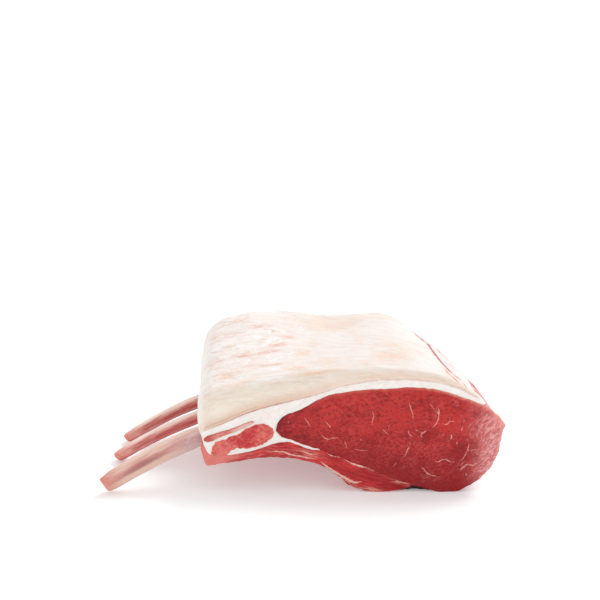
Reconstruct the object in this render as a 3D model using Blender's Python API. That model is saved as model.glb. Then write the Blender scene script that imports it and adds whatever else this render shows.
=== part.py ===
"""A rack of lamb with three frenched ribs, raw: the fat cap, the loin, the small side muscle, a thin strip of
cap muscle, the meat round the ribs, and three rib bones whose scraped ends reach down to the table."""

import math

import bmesh
import bpy
from mathutils import Vector

MM = 0.001

# Driving sizes, in millimetres. A section is drawn in X and Z as it shows on the front cut: X runs from the
# bones towards the chine side and Z up from the table. Y is the depth behind the front cut.
RACK_DEPTH = 60.0
MIDDLE_X = 0.55  # the box's middle, which goes to the origin
MIDDLE_Y = 27.88
FIT_GAP = 0.3  # between two pieces that touch
CUT_OVERSHOOT = 3.0  # how far a channel's cutter runs past a cut face

# The fat cap's outline goes from its lower left corner over the top to the chine side. Then it goes back
# through the loin and the rib meat, which both cut their own beds into it.
FAT_OUTLINE = (
    (-27.6, 10.2),
    (-29.2, 12.8),
    (-31.0, 16.2),
    (-31.9, 21.0),
    (-31.7, 26.0),
    (-30.3, 30.3),
    (-26.3, 33.1),
    (-17.9, 35.2),
    (-6.8, 37.6),
    (3.1, 39.2),
    (15.4, 40.4),
    (28.0, 40.9),
    (38.5, 39.9),
    (46.3, 37.5),
    (52.6, 34.2),
    (57.4, 30.6),
    (58.4, 28.4),
    (52.0, 26.0),
    (36.0, 24.0),
    (18.0, 20.0),
    (8.6, 16.2),
    (7.0, 13.0),
    (4.2, 11.8),
    (-1.5, 12.8),
    (-8.1, 13.6),
    (-16.0, 11.6),
)
LOIN_OUTLINE = (
    (-7.5, 20.7),
    (-7.0, 22.6),
    (-5.7, 24.6),
    (-3.6, 25.9),
    (-0.6, 26.9),
    (2.4, 28.5),
    (5.6, 30.6),
    (10.0, 32.3),
    (15.4, 33.3),
    (20.8, 34.0),
    (28.1, 34.3),
    (34.6, 34.6),
    (38.6, 34.5),
    (43.6, 33.6),
    (49.0, 32.0),
    (54.0, 30.0),
    (58.0, 28.3),
    (61.1, 26.6),
    (63.0, 24.4),
    (64.57, 22.4),
    (63.8, 19.6),
    (63.3, 15.4),
    (61.8, 10.4),
    (58.9, 6.0),
    (55.2, 2.8),
    (51.4, 0.8),
    (47.6, -0.5),
    (43.6, -0.9),
    (40.8, 0.6),
    (36.4, 2.6),
    (32.0, 3.4),
    (28.7, 4.8),
    (24.6, 6.9),
    (20.2, 9.1),
    (16.4, 10.1),
    (12.8, 12.0),
    (9.6, 12.8),
    (7.0, 14.4),
    (4.0, 15.2),
    (1.4, 15.9),
    (-1.0, 17.1),
    (-3.6, 18.1),
    (-5.9, 18.7),
)
SIDE_MUSCLE_OUTLINE = (
    (-27.6, 12.9),
    (-27.0, 15.2),
    (-25.9, 16.6),
    (-24.1, 17.0),
    (-22.3, 17.7),
    (-21.4, 18.5),
    (-19.6, 18.8),
    (-18.2, 19.6),
    (-16.9, 20.9),
    (-15.2, 21.4),
    (-14.0, 22.3),
    (-12.2, 22.7),
    (-10.3, 22.2),
    (-8.8, 21.2),
    (-8.3, 20.0),
    (-9.0, 18.2),
    (-10.9, 16.7),
    (-13.7, 15.3),
    (-17.0, 14.7),
    (-20.0, 14.8),
    (-21.5, 14.1),
    (-22.8, 12.8),
    (-24.4, 12.2),
    (-26.2, 12.4),
)
CAP_STRIP_OUTLINE = (
    (-30.2, 17.5),
    (-28.7, 18.5),
    (-26.2, 19.4),
    (-23.3, 20.3),
    (-20.2, 21.4),
    (-17.1, 22.7),
    (-14.2, 24.0),
    (-14.8, 23.1),
    (-17.4, 21.6),
    (-20.8, 20.2),
    (-24.4, 18.8),
    (-27.2, 17.4),
    (-28.9, 16.9),
)
# The rib meat reaches a little into the loin, which cuts its bed into it too.
RIB_MEAT_OUTLINE = (
    (-31.3, 15.6),
    (-31.0, 13.4),
    (-30.4, 11.0),
    (-29.8, 9.0),
    (-29.3, 8.1),
    (-28.2, 8.5),
    (-25.4, 9.1),
    (-21.3, 9.7),
    (-17.9, 10.3),
    (-15.0, 11.0),
    (-12.0, 11.3),
    (-7.8, 11.4),
    (-3.0, 11.2),
    (1.0, 10.5),
    (5.0, 9.5),
    (7.8, 8.3),
    (9.4, 7.0),
    (11.2, 5.9),
    (12.6, 4.8),
    (13.6, 3.4),
    (15.4, 2.0),
    (18.2, 1.0),
    (21.4, 0.1),
    (26.0, -0.3),
    (30.6, 0.5),
    (33.8, 1.5),
    (35.2, 2.1),
    (35.0, 3.2),
    (31.0, 5.2),
    (26.0, 7.4),
    (21.0, 9.8),
    (16.0, 11.6),
    (12.0, 12.8),
    (9.0, 13.4),
    (6.6, 13.7),
    (3.6, 14.0),
    (0.8, 14.9),
    (-1.6, 16.0),
    (-4.6, 16.6),
    (-7.4, 16.1),
    (-10.2, 15.1),
    (-13.4, 13.9),
    (-17.0, 12.9),
    (-20.6, 12.2),
    (-24.4, 11.8),
    (-28.6, 12.1),
    (-29.4, 13.2),
    (-30.0, 15.0),
    (-30.4, 15.8),
)

# How the section changes with depth. The loin is slimmer at the back and its shoulder drops, and over the ribs
# the rack stands higher than on the front cut, where the flap of meat in front of the first rib hangs down.
# The front cut flares out a little at the chine side, where the knife pressed on the soft meat.
# Each change fades in over a span of the section's X, and some of them also over a span of its Z.
CHINE_NARROWING = 10.0
CHINE_NARROWING_SPAN = (22.0, 64.0)
CHINE_BOW = 2.2  # the power of the depth that the narrowing and the drop follow
CHINE_FLARE = 2.8
CHINE_FLARE_DEPTH = 12.0
CHINE_FLARE_SPAN = (44.0, 60.0)
SHOULDER_DROP = 5.0
SHOULDER_DROP_SPAN = (26.0, 46.0)
SHOULDER_DROP_HEIGHTS = (4.0, 34.0)
BACK_RISE = 5.6
BACK_RISE_SPAN = (-20.0, 16.0)
BACK_RISE_HEIGHTS = (22.0, 36.0)
ARCH_RISE = 6.0
ARCH_RISE_DEPTH = 9.0
ARCH_RISE_SPAN = (-14.0, 14.0)
ARCH_RISE_HEIGHTS = (12.0, 34.0)
LEFT_SPREAD = 1.4  # how much further out the ribs' side is at the back
LEFT_SPREAD_SPAN = (-32.0, -8.0)

# How far the edges of both cut faces are rounded.
FAT_ROUNDING = 1.0
MEAT_ROUNDING = 0.3
LOIN_ROUNDING = 1.5  # at the chine side, and none where the fat lies against the loin
LOIN_ROUNDING_SPAN = (44.0, 62.0)
LOIN_ROUNDING_HEIGHTS = (24.0, 29.0)
STATIONS = (0.0, 2.2, 4.8, 9.0, 19.0, 31.0, 43.0, 52.0, 57.0, 60.0)  # depths of the sections
EDGE_STATIONS = (0.3, 0.9)  # more of them behind each rounded cut edge

# Each rib runs from its sawn tip up into the rack, along this arch (X, Z) over its inside, to its inner end.
RIB_ARCH = (
    (-33.0, 15.0),
    (-28.0, 16.3),
    (-22.0, 17.5),
    (-16.0, 18.1),
    (-10.0, 17.9),
    (-4.0, 16.6),
    (2.0, 14.2),
    (8.0, 10.6),
    (12.6, 7.2),
    (15.6, 4.9),
)
RIB_BULGE = 1.0  # how far the scraped length bows up
RIB_FLARE = 0.1  # how much wider a rib is inside the rack than at its tip
RIB_TIP_RIM = 0.88  # a rib's last section, which rounds the rim of its sawn end
RIB_TURN_SPAN = (-38.0, -16.0)  # X over which a rib turns about its length
RIB_SIDES = 12
RIB_RINGS = 21
# Name, tip X and Y and height of its middle, Y where the rib enters the rack and at its inner end, width,
# thickness, and the turn of its flat side about its length, outside and inside the rack, in degrees.
RIBS = (
    ("rib_bone_1", (-61.7, -1.8, 2.75), 8.6, 13.0, 8.2, 4.6, 66.0, 22.0),
    ("rib_bone_2", (-60.2, 24.6, 1.55), 27.0, 29.0, 7.4, 4.1, 18.0, 12.0),
    ("rib_bone_3", (-58.5, 41.3, 1.45), 42.2, 44.0, 7.4, 4.2, 16.0, 10.0),
)


def blend(low, high, value):
    """0 at low, 1 at high, and a smooth step between them."""
    share = min(1.0, max(0.0, (value - low) / (high - low)))
    return share * share * (3.0 - 2.0 * share)


def catmull_rom(p0, p1, p2, p3, t):
    return 0.5 * (
        2.0 * p1
        + (p2 - p0) * t
        + (2.0 * p0 - 5.0 * p1 + 4.0 * p2 - p3) * t * t
        + (3.0 * p1 - p0 - 3.0 * p2 + p3) * t * t * t
    )


def smooth_line(points, closed, steps=8):
    """A smooth line through the points."""
    corners = [Vector(p) for p in points]
    if closed:
        ends = [corners[-1], *corners, corners[0], corners[1]]
    else:
        ends = [2.0 * corners[0] - corners[1], *corners, 2.0 * corners[-1] - corners[-2]]
    line = []
    for p0, p1, p2, p3 in zip(ends, ends[1:], ends[2:], ends[3:]):
        line.extend(catmull_rom(p0, p1, p2, p3, step / steps) for step in range(steps))
    line.append(ends[-2])
    return line


def spaced(line, count):
    """The line as points at equal distances, with its last point."""
    lengths = [0.0]
    for a, b in zip(line, line[1:]):
        lengths.append(lengths[-1] + (b - a).length)
    points = []
    i = 0
    for k in range(count):
        target = lengths[-1] * k / (count - 1)
        while i < len(line) - 2 and lengths[i + 1] < target:
            i += 1
        share = (target - lengths[i]) / (lengths[i + 1] - lengths[i])
        points.append(line[i].lerp(line[i + 1], share))
    return points


def quarter_wave(share):
    """0 at 0 and 1 at 1, rising fast at first."""
    return math.sin(math.pi / 2.0 * min(1.0, max(0.0, share)))


def in_rack(x, y, z):
    """Where a point of the drawn section lies in the rack, at the depth y."""
    back = min(1.0, max(0.0, y / RACK_DEPTH))
    bow = back**CHINE_BOW
    drop = SHOULDER_DROP * bow * blend(*SHOULDER_DROP_SPAN, x) * blend(*SHOULDER_DROP_HEIGHTS, z)
    rise = BACK_RISE * quarter_wave(back) * (1.0 - blend(*BACK_RISE_SPAN, x)) * blend(*BACK_RISE_HEIGHTS, z)
    arch = ARCH_RISE * quarter_wave(y / ARCH_RISE_DEPTH)
    arch *= (1.0 - blend(*ARCH_RISE_SPAN, x)) * (1.0 - blend(*ARCH_RISE_HEIGHTS, z))
    narrowed = x - CHINE_NARROWING * bow * blend(*CHINE_NARROWING_SPAN, x)
    narrowed -= CHINE_FLARE * quarter_wave(y / CHINE_FLARE_DEPTH) * blend(*CHINE_FLARE_SPAN, x)
    narrowed -= LEFT_SPREAD * back * (1.0 - blend(*LEFT_SPREAD_SPAN, x))
    return Vector((narrowed - MIDDLE_X, y - MIDDLE_Y, max(0.0, z - drop + rise + arch))) * MM


def flush(point):
    return 0.0


def fat_rounding(point):
    return FAT_ROUNDING


def meat_rounding(point):
    return MEAT_ROUNDING


def loin_rounding(point):
    below_fat = 1.0 - blend(*LOIN_ROUNDING_HEIGHTS, point.y)
    return LOIN_ROUNDING * blend(*LOIN_ROUNDING_SPAN, point.x) * below_fat


def rounded_off(y, radius):
    """How far an edge rounded to the radius stands back, at the depth y behind the nearer cut face."""
    from_cut = min(y, RACK_DEPTH - y)
    if radius <= 0.0 or from_cut >= radius:
        return 0.0
    return radius - math.sqrt(radius * radius - (radius - from_cut) ** 2)


def section_rings(outline, count, rounding, grow, overshoot):
    """The outline at every depth. It is grown all round, and its ends run past the cut faces by overshoot."""
    ring = spaced(smooth_line(outline, closed=True), count + 1)[:-1]
    area = sum(a.x * b.y - b.x * a.y for a, b in zip(ring, [*ring[1:], ring[0]]))
    if area < 0.0:
        ring.reverse()
    outward = []
    for before, after in zip([ring[-1], *ring], [*ring[1:], ring[0]]):
        along = (after - before).normalized()
        outward.append(Vector((along.y, -along.x)))
    depths = list(STATIONS)
    if rounding is not flush:
        depths += [*EDGE_STATIONS, *(RACK_DEPTH - y for y in EDGE_STATIONS)]
        depths.sort()
    rings = []
    for y in depths:
        points = []
        for point, out in zip(ring, outward):
            moved = point + out * (grow - rounded_off(y, rounding(point)))
            points.append(in_rack(moved.x, y, moved.y))
        rings.append(points)
    if overshoot:
        step = Vector((0.0, overshoot * MM, 0.0))
        rings.insert(0, [point - step for point in rings[0]])
        rings.append([point + step for point in rings[-1]])
    return rings


def loft(name, rings):
    """A closed solid through rings of equally many points."""
    mesh = bmesh.new()
    loops = [[mesh.verts.new(point) for point in points] for points in rings]
    for a, b in zip(loops, loops[1:]):
        for i in range(len(a)):
            mesh.faces.new((a[i - 1], a[i], b[i], b[i - 1]))
    mesh.faces.new(loops[0])
    mesh.faces.new(loops[-1])
    bmesh.ops.recalc_face_normals(mesh, faces=mesh.faces)
    data = bpy.data.meshes.new(name)
    mesh.to_mesh(data)
    mesh.free()
    return bpy.data.objects.new(name, data)


def rib_rings(tip, entry_y, end_y, width, thickness, outer_turn, inner_turn, grow):
    """The rib's oval sections, from its sawn tip to its inner end, grown all round."""
    entry_x, entry_z = RIB_ARCH[0]
    centres = []
    for share in (0.0, 0.2, 0.4, 0.6, 0.8):
        x = tip[0] + (entry_x - tip[0]) * share
        y = tip[1] + (entry_y - tip[1]) * share
        z = tip[2] + (entry_z - tip[2]) * share + RIB_BULGE * 4.0 * share * (1.0 - share)
        centres.append((x, y, z))
    for x, z in RIB_ARCH:
        inside = (x - entry_x) / (RIB_ARCH[-1][0] - entry_x)
        centres.append((x, entry_y + (end_y - entry_y) * quarter_wave(inside), z))
    line = spaced(smooth_line(centres, closed=False), RIB_RINGS)
    rings = []
    for k, centre in enumerate(line):
        along = (line[min(k + 1, RIB_RINGS - 1)] - line[max(k - 1, 0)]).normalized()
        across = Vector((0.0, 0.0, 1.0)).cross(along).normalized()
        above = along.cross(across)
        turn = math.radians(outer_turn + (inner_turn - outer_turn) * blend(*RIB_TURN_SPAN, centre.x))
        wide = across * math.cos(turn) - above * math.sin(turn)
        flat = above * math.cos(turn) + across * math.sin(turn)
        girth = 1.0 + RIB_FLARE * blend(tip[0], entry_x, centre.x)
        if k in (0, RIB_RINGS - 1):
            girth *= RIB_TIP_RIM
        middle = centre + along * grow * (k == RIB_RINGS - 1) - along * grow * (k == 0)
        points = []
        for side in range(RIB_SIDES):
            angle = 2.0 * math.pi * side / RIB_SIDES
            point = middle + wide * math.cos(angle) * (width / 2.0 * girth + grow)
            point += flat * math.sin(angle) * (thickness / 2.0 * girth + grow)
            points.append(Vector((point.x - MIDDLE_X, point.y - MIDDLE_Y, max(0.0, point.z))) * MM)
        rings.append(points)
    return rings


def material(name, colour, roughness):
    made = bpy.data.materials.new(name)
    made.use_nodes = True
    made.diffuse_color = (*colour, 1.0)
    shader = made.node_tree.nodes["Principled BSDF"]
    shader.inputs["Base Color"].default_value = (*colour, 1.0)
    shader.inputs["Roughness"].default_value = roughness
    shader.inputs["Metallic"].default_value = 0.0
    return made


def bed(obj, cutter):
    """Cuts the bed that another piece lies in."""
    cut = obj.modifiers.new("bed of " + cutter.name, "BOOLEAN")
    cut.operation = "DIFFERENCE"
    cut.solver = "EXACT"
    cut.object = cutter


for old in list(bpy.data.objects):
    bpy.data.objects.remove(old, do_unlink=True)
parts = bpy.data.collections.new("rack_of_lamb")
cutters = bpy.data.collections.new("cutters")
bpy.context.scene.collection.children.link(parts)
bpy.context.scene.collection.children.link(cutters)
cutters.hide_render = True

FAT = material("fat", (0.90, 0.78, 0.68), 0.45)
LEAN = material("lean meat", (0.42, 0.045, 0.045), 0.35)
PALE_LEAN = material("pale lean meat", (0.56, 0.12, 0.10), 0.35)
BONE = material("bone", (0.72, 0.46, 0.38), 0.5)

# Name, outline, points round it, rounding of its cut edges, and material.
PIECES = (
    ("fat_cap", FAT_OUTLINE, 74, fat_rounding, FAT),
    ("loin_eye", LOIN_OUTLINE, 68, loin_rounding, LEAN),
    ("side_muscle", SIDE_MUSCLE_OUTLINE, 40, flush, PALE_LEAN),
    ("cap_strip", CAP_STRIP_OUTLINE, 26, flush, PALE_LEAN),
    ("rib_meat", RIB_MEAT_OUTLINE, 84, meat_rounding, PALE_LEAN),
)

pieces = {}
beds = {}
for name, outline, count, rounding, finish in PIECES:
    piece = loft(name, section_rings(outline, count, rounding, 0.0, 0.0))
    piece.data.materials.append(finish)
    piece.data.shade_smooth()
    piece.data.set_sharp_from_angle(angle=math.radians(40.0))
    parts.objects.link(piece)
    pieces[name] = piece
    if name != "fat_cap":
        beds[name] = loft(name + "_bed", section_rings(outline, count, flush, FIT_GAP, CUT_OVERSHOOT))
for name, tip, entry_y, end_y, width, thickness, outer_turn, inner_turn in RIBS:
    shape = (tip, entry_y, end_y, width, thickness, outer_turn, inner_turn)
    piece = loft(name, rib_rings(*shape, 0.0))
    piece.data.materials.append(BONE)
    piece.data.shade_smooth()
    piece.data.set_sharp_from_angle(angle=math.radians(50.0))
    parts.objects.link(piece)
    beds[name] = loft(name + "_bed", rib_rings(*shape, FIT_GAP))

for cutter in beds.values():
    cutter.hide_render = True
    cutter.display_type = "WIRE"
    cutters.objects.link(cutter)
for name, cutter in beds.items():
    bed(pieces["fat_cap"], cutter)
    if name.startswith("rib_bone"):
        bed(pieces["side_muscle"], cutter)
    if name == "loin_eye" or name.startswith("rib_bone"):
        bed(pieces["rib_meat"], cutter)
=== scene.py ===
"""A raw frenched rack of lamb with three rib bones, lying on a white table in soft light.

Sizes are in millimetres. X runs from the bones to the chine side, Y from the front cut to the back cut, and
Z up from the table.
"""

import math
import random

import bmesh
import bpy
import numpy as np
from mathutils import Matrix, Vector, kdtree, noise
from mathutils.bvhtree import BVHTree


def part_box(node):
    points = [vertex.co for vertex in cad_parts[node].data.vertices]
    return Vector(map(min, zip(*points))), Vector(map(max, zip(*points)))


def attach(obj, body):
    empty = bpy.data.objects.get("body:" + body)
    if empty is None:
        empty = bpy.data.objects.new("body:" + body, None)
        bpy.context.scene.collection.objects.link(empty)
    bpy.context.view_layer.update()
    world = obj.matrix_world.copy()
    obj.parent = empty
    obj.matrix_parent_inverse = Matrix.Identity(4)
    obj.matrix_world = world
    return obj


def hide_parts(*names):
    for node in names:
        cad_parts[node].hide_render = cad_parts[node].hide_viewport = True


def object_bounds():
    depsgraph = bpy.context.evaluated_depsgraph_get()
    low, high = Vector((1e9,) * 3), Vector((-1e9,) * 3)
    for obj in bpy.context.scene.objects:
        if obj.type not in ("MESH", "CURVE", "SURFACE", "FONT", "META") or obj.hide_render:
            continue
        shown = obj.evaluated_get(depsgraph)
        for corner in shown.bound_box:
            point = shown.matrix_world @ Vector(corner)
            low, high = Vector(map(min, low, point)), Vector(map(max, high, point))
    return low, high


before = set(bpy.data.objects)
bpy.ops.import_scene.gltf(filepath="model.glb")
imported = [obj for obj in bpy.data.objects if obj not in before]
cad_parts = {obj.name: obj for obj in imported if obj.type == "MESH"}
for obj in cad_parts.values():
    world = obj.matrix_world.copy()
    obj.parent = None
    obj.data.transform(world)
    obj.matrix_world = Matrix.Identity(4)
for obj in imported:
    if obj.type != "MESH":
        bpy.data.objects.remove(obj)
cad_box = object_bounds()


# ---- The table, the light and the camera ----
# A white table in a white room, with one large soft light high up behind it on the right. The camera looks
# down on the front cut from just over half a metre away.

MM = 0.001
TABLE_ACROSS = 8000.0
# The table is a milky sheet that glows a little of its own, as if lit from below: painted light that lightens
# the shadows on it and lights the rack from beneath.
TABLE_LOOK = {
    "Base Color": (0.92, 0.955, 0.96, 1.0),
    "Roughness": 0.7,
    "Specular IOR Level": 0.2,
    "Emission Color": (0.95, 1.0, 1.0, 1.0),
    "Emission Strength": 0.2,
}
ROOM_BRIGHTNESS = 0.82
LIGHT_FROM = (0.62, 0.6, 1.0)  # the way from the rack to the light
LIGHT_STRENGTH = 1.45
LIGHT_SPREAD = 38.0  # degrees across, as seen from the rack
CAMERA_PLACE = (-0.55, -532.26, 219.31)
CAMERA_TILT = 72.81  # degrees up from looking straight down
CAMERA_LENS = 104.13
CAMERA_SENSOR = 36.0

scene = bpy.context.scene
table_shape = bmesh.new()
bmesh.ops.create_grid(table_shape, x_segments=1, y_segments=1, size=TABLE_ACROSS / 2.0 * MM)
table_mesh = bpy.data.meshes.new("table_top")
table_shape.to_mesh(table_mesh)
table_shape.free()
table = bpy.data.objects.new("table_top", table_mesh)
scene.collection.objects.link(table)
table_paint = bpy.data.materials.new("white table")
table_paint.use_nodes = True
for socket, value in TABLE_LOOK.items():
    table_paint.node_tree.nodes["Principled BSDF"].inputs[socket].default_value = value
table.data.materials.append(table_paint)

room = bpy.data.worlds.new("white room")
room.use_nodes = True
room.node_tree.nodes["Background"].inputs["Color"].default_value = (1.0, 1.0, 1.0, 1.0)
room.node_tree.nodes["Background"].inputs["Strength"].default_value = ROOM_BRIGHTNESS
scene.world = room
scene.view_settings.view_transform = "Standard"

soft_light = bpy.data.objects.new("soft_light", bpy.data.lights.new("soft_light", "SUN"))
soft_light.data.energy = LIGHT_STRENGTH
soft_light.data.angle = math.radians(LIGHT_SPREAD)
soft_light.rotation_euler = Vector(LIGHT_FROM).to_track_quat("Z", "Y").to_euler()
scene.collection.objects.link(soft_light)

camera = bpy.data.objects.new("camera", bpy.data.cameras.new("camera"))
camera.data.lens = CAMERA_LENS
camera.data.sensor_width = CAMERA_SENSOR
camera.location = Vector(CAMERA_PLACE) * MM
camera.rotation_euler = (math.radians(CAMERA_TILT), 0.0, 0.0)
scene.collection.objects.link(camera)
scene.camera = camera


# ---- The loin eye ----
# The big round muscle along the back of the rack, cut straight across at both ends. Its fibres run the rack's
# length, so a cut shows their ends as a fine grain, with thin pale veins of fat between the bundles.

HUG_REACH = (1.3, 0.95)  # distance at which a piece starts to spread to its neighbour, and reaches it
CUT_SPARE = 2.5  # how much longer a piece is at each end until it is cut
CUT_SHARP = math.radians(50.0)
ON_CUT = 0.01  # how far off the cut a point may be that counts as on it
WELD = 0.002  # points closer than this are one

eye_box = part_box("loin_eye")
FRONT_CUT = eye_box[0].y / MM
BACK_CUT = eye_box[1].y / MM
BOX_LOW = np.array(cad_box[0]) / MM
BOX_HIGH = np.array(cad_box[1]) / MM

# The veins on the front cut: each has its thickness and the (X, Z) places that it passes.
EYE_VEINS = (
    (0.42, (33.2, 30.2), (33.6, 28.6), (34.2, 27.2), (34.5, 25.9), (34.4, 24.6)),
    (0.5, (42.2, 29.2), (42.6, 27.2), (42.5, 25.3), (42.1, 23.6), (41.2, 22.3), (40.2, 21.1)),
    (0.62, (39.3, 20.9), (38.1, 20.3), (37.2, 19.6), (37.5, 18.3)),
    (0.36, (36.5, 20.6), (35.0, 21.1)),
    (0.34, (43.3, 23.3), (44.6, 22.8), (45.5, 23.1), (46.1, 24.1), (45.7, 25.3)),
    (0.34, (46.1, 23.9), (47.6, 23.9)),
    (0.4, (33.1, 21.3), (33.4, 19.6), (34.7, 18.6)),
    (0.4, (34.1, 17.2), (33.2, 14.6), (32.3, 12.5), (31.4, 11.2)),
    (0.44, (41.1, 10.9), (42.4, 10.2), (43.9, 10.9), (45.2, 11.2), (46.1, 10.5), (47.1, 10.2), (48.6, 10.5)),
    (0.5, (37.4, 8.8), (38.3, 7.8), (39.3, 6.5), (40.6, 5.8), (43.1, 5.3)),
    (0.5, (49.3, 7.1), (50.6, 8.5), (51.8, 9.5), (53.4, 9.2), (55.2, 9.8)),
    (0.34, (53.4, 9.2), (53.4, 8.2)),
    (0.4, (51.6, 17.6), (52.2, 16.2), (51.7, 14.2), (51.1, 12.5), (50.2, 11.2), (48.9, 10.2)),
    (0.3, (51.3, 13.9), (52.9, 14.2), (55.1, 14.6)),
    (0.6, (46.5, 19.4), (46.8, 18.6), (46.4, 17.9)),
    (0.45, (48.4, 17.1), (48.5, 16.2)),
    (0.26, (39.4, 30.2), (41.0, 27.9), (42.0, 26.3)),
    (0.28, (50.1, 25.6), (50.4, 23.9), (49.9, 21.6), (49.6, 20.3)),
    (0.3, (54.8, 23.6), (55.2, 20.9), (56.2, 18.6)),
    (0.3, (28.6, 8.5), (29.8, 10.2)),
    (0.24, (38.6, 26.9), (38.9, 24.9), (38.3, 22.9)),
    (0.34, (58.7, 17.6), (57.9, 15.6), (58.5, 14.2)),
    (0.3, (56.7, 22.9), (57.7, 20.9), (57.1, 18.9)),
    (0.36, (51.5, 6.8), (51.9, 5.4)),
    (0.4, (0.7, 25.3), (1.6, 23.9), (2.6, 22.3)),
    (0.46, (7.1, 24.1), (8.2, 22.9), (9.1, 21.6)),
    (0.45, (7.7, 26.4), (7.9, 26.1)),
    (0.4, (5.7, 19.6), (6.9, 18.6), (8.2, 17.9), (9.7, 18.3), (11.9, 18.6)),
    (0.3, (8.2, 17.9), (7.9, 16.9)),
    (0.42, (21.8, 27.6), (22.4, 25.6), (21.9, 23.9), (21.9, 22.6)),
    (0.36, (13.5, 17.2), (13.8, 15.9), (14.1, 14.6)),
    (0.32, (16.3, 14.6), (18.2, 14.2), (21.0, 14.2)),
    (0.34, (25.0, 21.3), (25.9, 20.6), (26.9, 19.3)),
    (0.4, (18.3, 17.8), (18.6, 17.4)),
    (0.34, (20.6, 19.9), (20.6, 19.3)),
    (0.28, (6.6, 29.2), (7.2, 27.9)),
    (0.26, (27.8, 22.9), (27.1, 22.3), (26.9, 20.9)),
    (0.24, (-4.3, 24.3), (-4.0, 22.9)),
)
VEIN_GIRTH = 0.75  # share of those thicknesses that looks right
LIGHT_REACH = 1.2 * MM  # how far red light goes inside the meat
MOIST_SHINE = 0.22
FAR_OFF = 50.0  # further than any line is seen
LINE_END = 0.3  # share of its thickness that a line has at its ends
LINE_TAPER = 0.25  # share of its length over which it thins to that
BACK_VEIN_COUNT = 46
BACK_VEIN_SPAN = ((4.0, 46.0), (4.0, 27.0))  # X and Z between which they start
BACK_VEIN_THICKNESS = 0.34
BACK_VEIN_REACH = 1.8  # how far a vein runs between two bends, at most
BRANCH_CHANCE = 0.35
EYE_BULGE = 0.3  # how far the cut swells out, all of it from this far inside its rim:
EYE_BULGE_REACH = 4.0
WAVE_CENTRE = (30.0, -60.0)  # X and Z that the waves of the grain bend round
WAVE_LENGTH_SCALE = 80.0
# Behind the notch under the loin's front edge the soft meat sinks onto the table, in deep shade.
SAG = 2.6
SAG_HEIGHTS = (2.6, 8.0)  # Z below which the meat sinks fully, and from which it doesn't
SAG_LEFT = (22.0, 28.0)  # X where it starts to sink, and sinks fully
SAG_RIGHT = (48.0, 41.0)
SAG_DEPTHS = (0.6, 3.0)  # and how far behind the cut


def step(value, low, high):
    """0 at low, 1 at high, and a smooth step between them."""
    share = np.clip((value - low) / (high - low), 0.0, 1.0)
    return share * share * (3.0 - 2.0 * share)


def lumps(points, size, seed=0.0):
    """Smooth noise from about -1 to 1, in lumps of that size, or of that size along each axis."""
    places = points / np.array(size) + seed
    return np.array([noise.noise(place) for place in places.tolist()])


def shape_of(*nodes):
    """The solids of those nodes as one shape, in millimetres."""
    shape = bmesh.new()
    for node in nodes:
        shape.from_mesh(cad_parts[node].data)
    bmesh.ops.scale(shape, vec=Vector((1.0, 1.0, 1.0)) / MM, verts=shape.verts)
    return shape


def neighbours_of(*nodes):
    """The solids of those nodes, for finding the nearest place on them."""
    shape = shape_of(*nodes)
    tree = BVHTree.FromBMesh(shape)
    shape.free()
    return tree


def solid_of(node):
    """The node's solid as one closed mesh, spread a little over the seams to its neighbours."""
    shape = shape_of(node)
    bmesh.ops.remove_doubles(shape, verts=shape.verts, dist=WELD)
    around = neighbours_of(*(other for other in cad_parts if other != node))
    for vert in shape.verts:
        place, _, _, gap = around.find_nearest(vert.co)
        way = place - vert.co
        way.y = 0.0
        vert.co += way * float(step(gap, *HUG_REACH))
    return shape


def slice_up(shape, faces, cell):
    """Slices flat faces that face along Y into square cells."""
    for across in (Vector((1.0, 0.0, 0.0)), Vector((0.0, 0.0, 1.0))):
        place = min(vert.co.dot(across) for face in faces for vert in face.verts) + cell
        done = []
        while faces:
            edges = dict.fromkeys(edge for face in faces for edge in face.edges)
            verts = dict.fromkeys(vert for face in faces for vert in face.verts)
            cut = bmesh.ops.bisect_plane(
                shape,
                geom=[*verts, *edges, *faces],
                dist=WELD,
                plane_co=across * place,
                plane_no=across,
            )
            faces = []
            for face in cut["geom"]:
                if isinstance(face, bmesh.types.BMFace):
                    behind = face.calc_center_median().dot(across) < place
                    (done if behind else faces).append(face)
            place += cell
        faces = done


def cut_across(shape, depth, side, cell):
    """Cuts the shape square at that depth, and closes the cut with small even faces."""
    cut = bmesh.ops.bisect_plane(
        shape,
        geom=[*shape.verts, *shape.edges, *shape.faces],
        dist=WELD,
        plane_co=(0.0, depth, 0.0),
        plane_no=(0.0, side, 0.0),
        clear_outer=True,
    )
    rim = [item for item in cut["geom_cut"] if isinstance(item, bmesh.types.BMEdge) and item.is_boundary]
    filled = bmesh.ops.triangle_fill(
        shape, use_beauty=True, use_dissolve=True, edges=rim, normal=(0.0, side, 0.0)
    )
    slice_up(shape, [item for item in filled["geom"] if isinstance(item, bmesh.types.BMFace)], cell)


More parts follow.
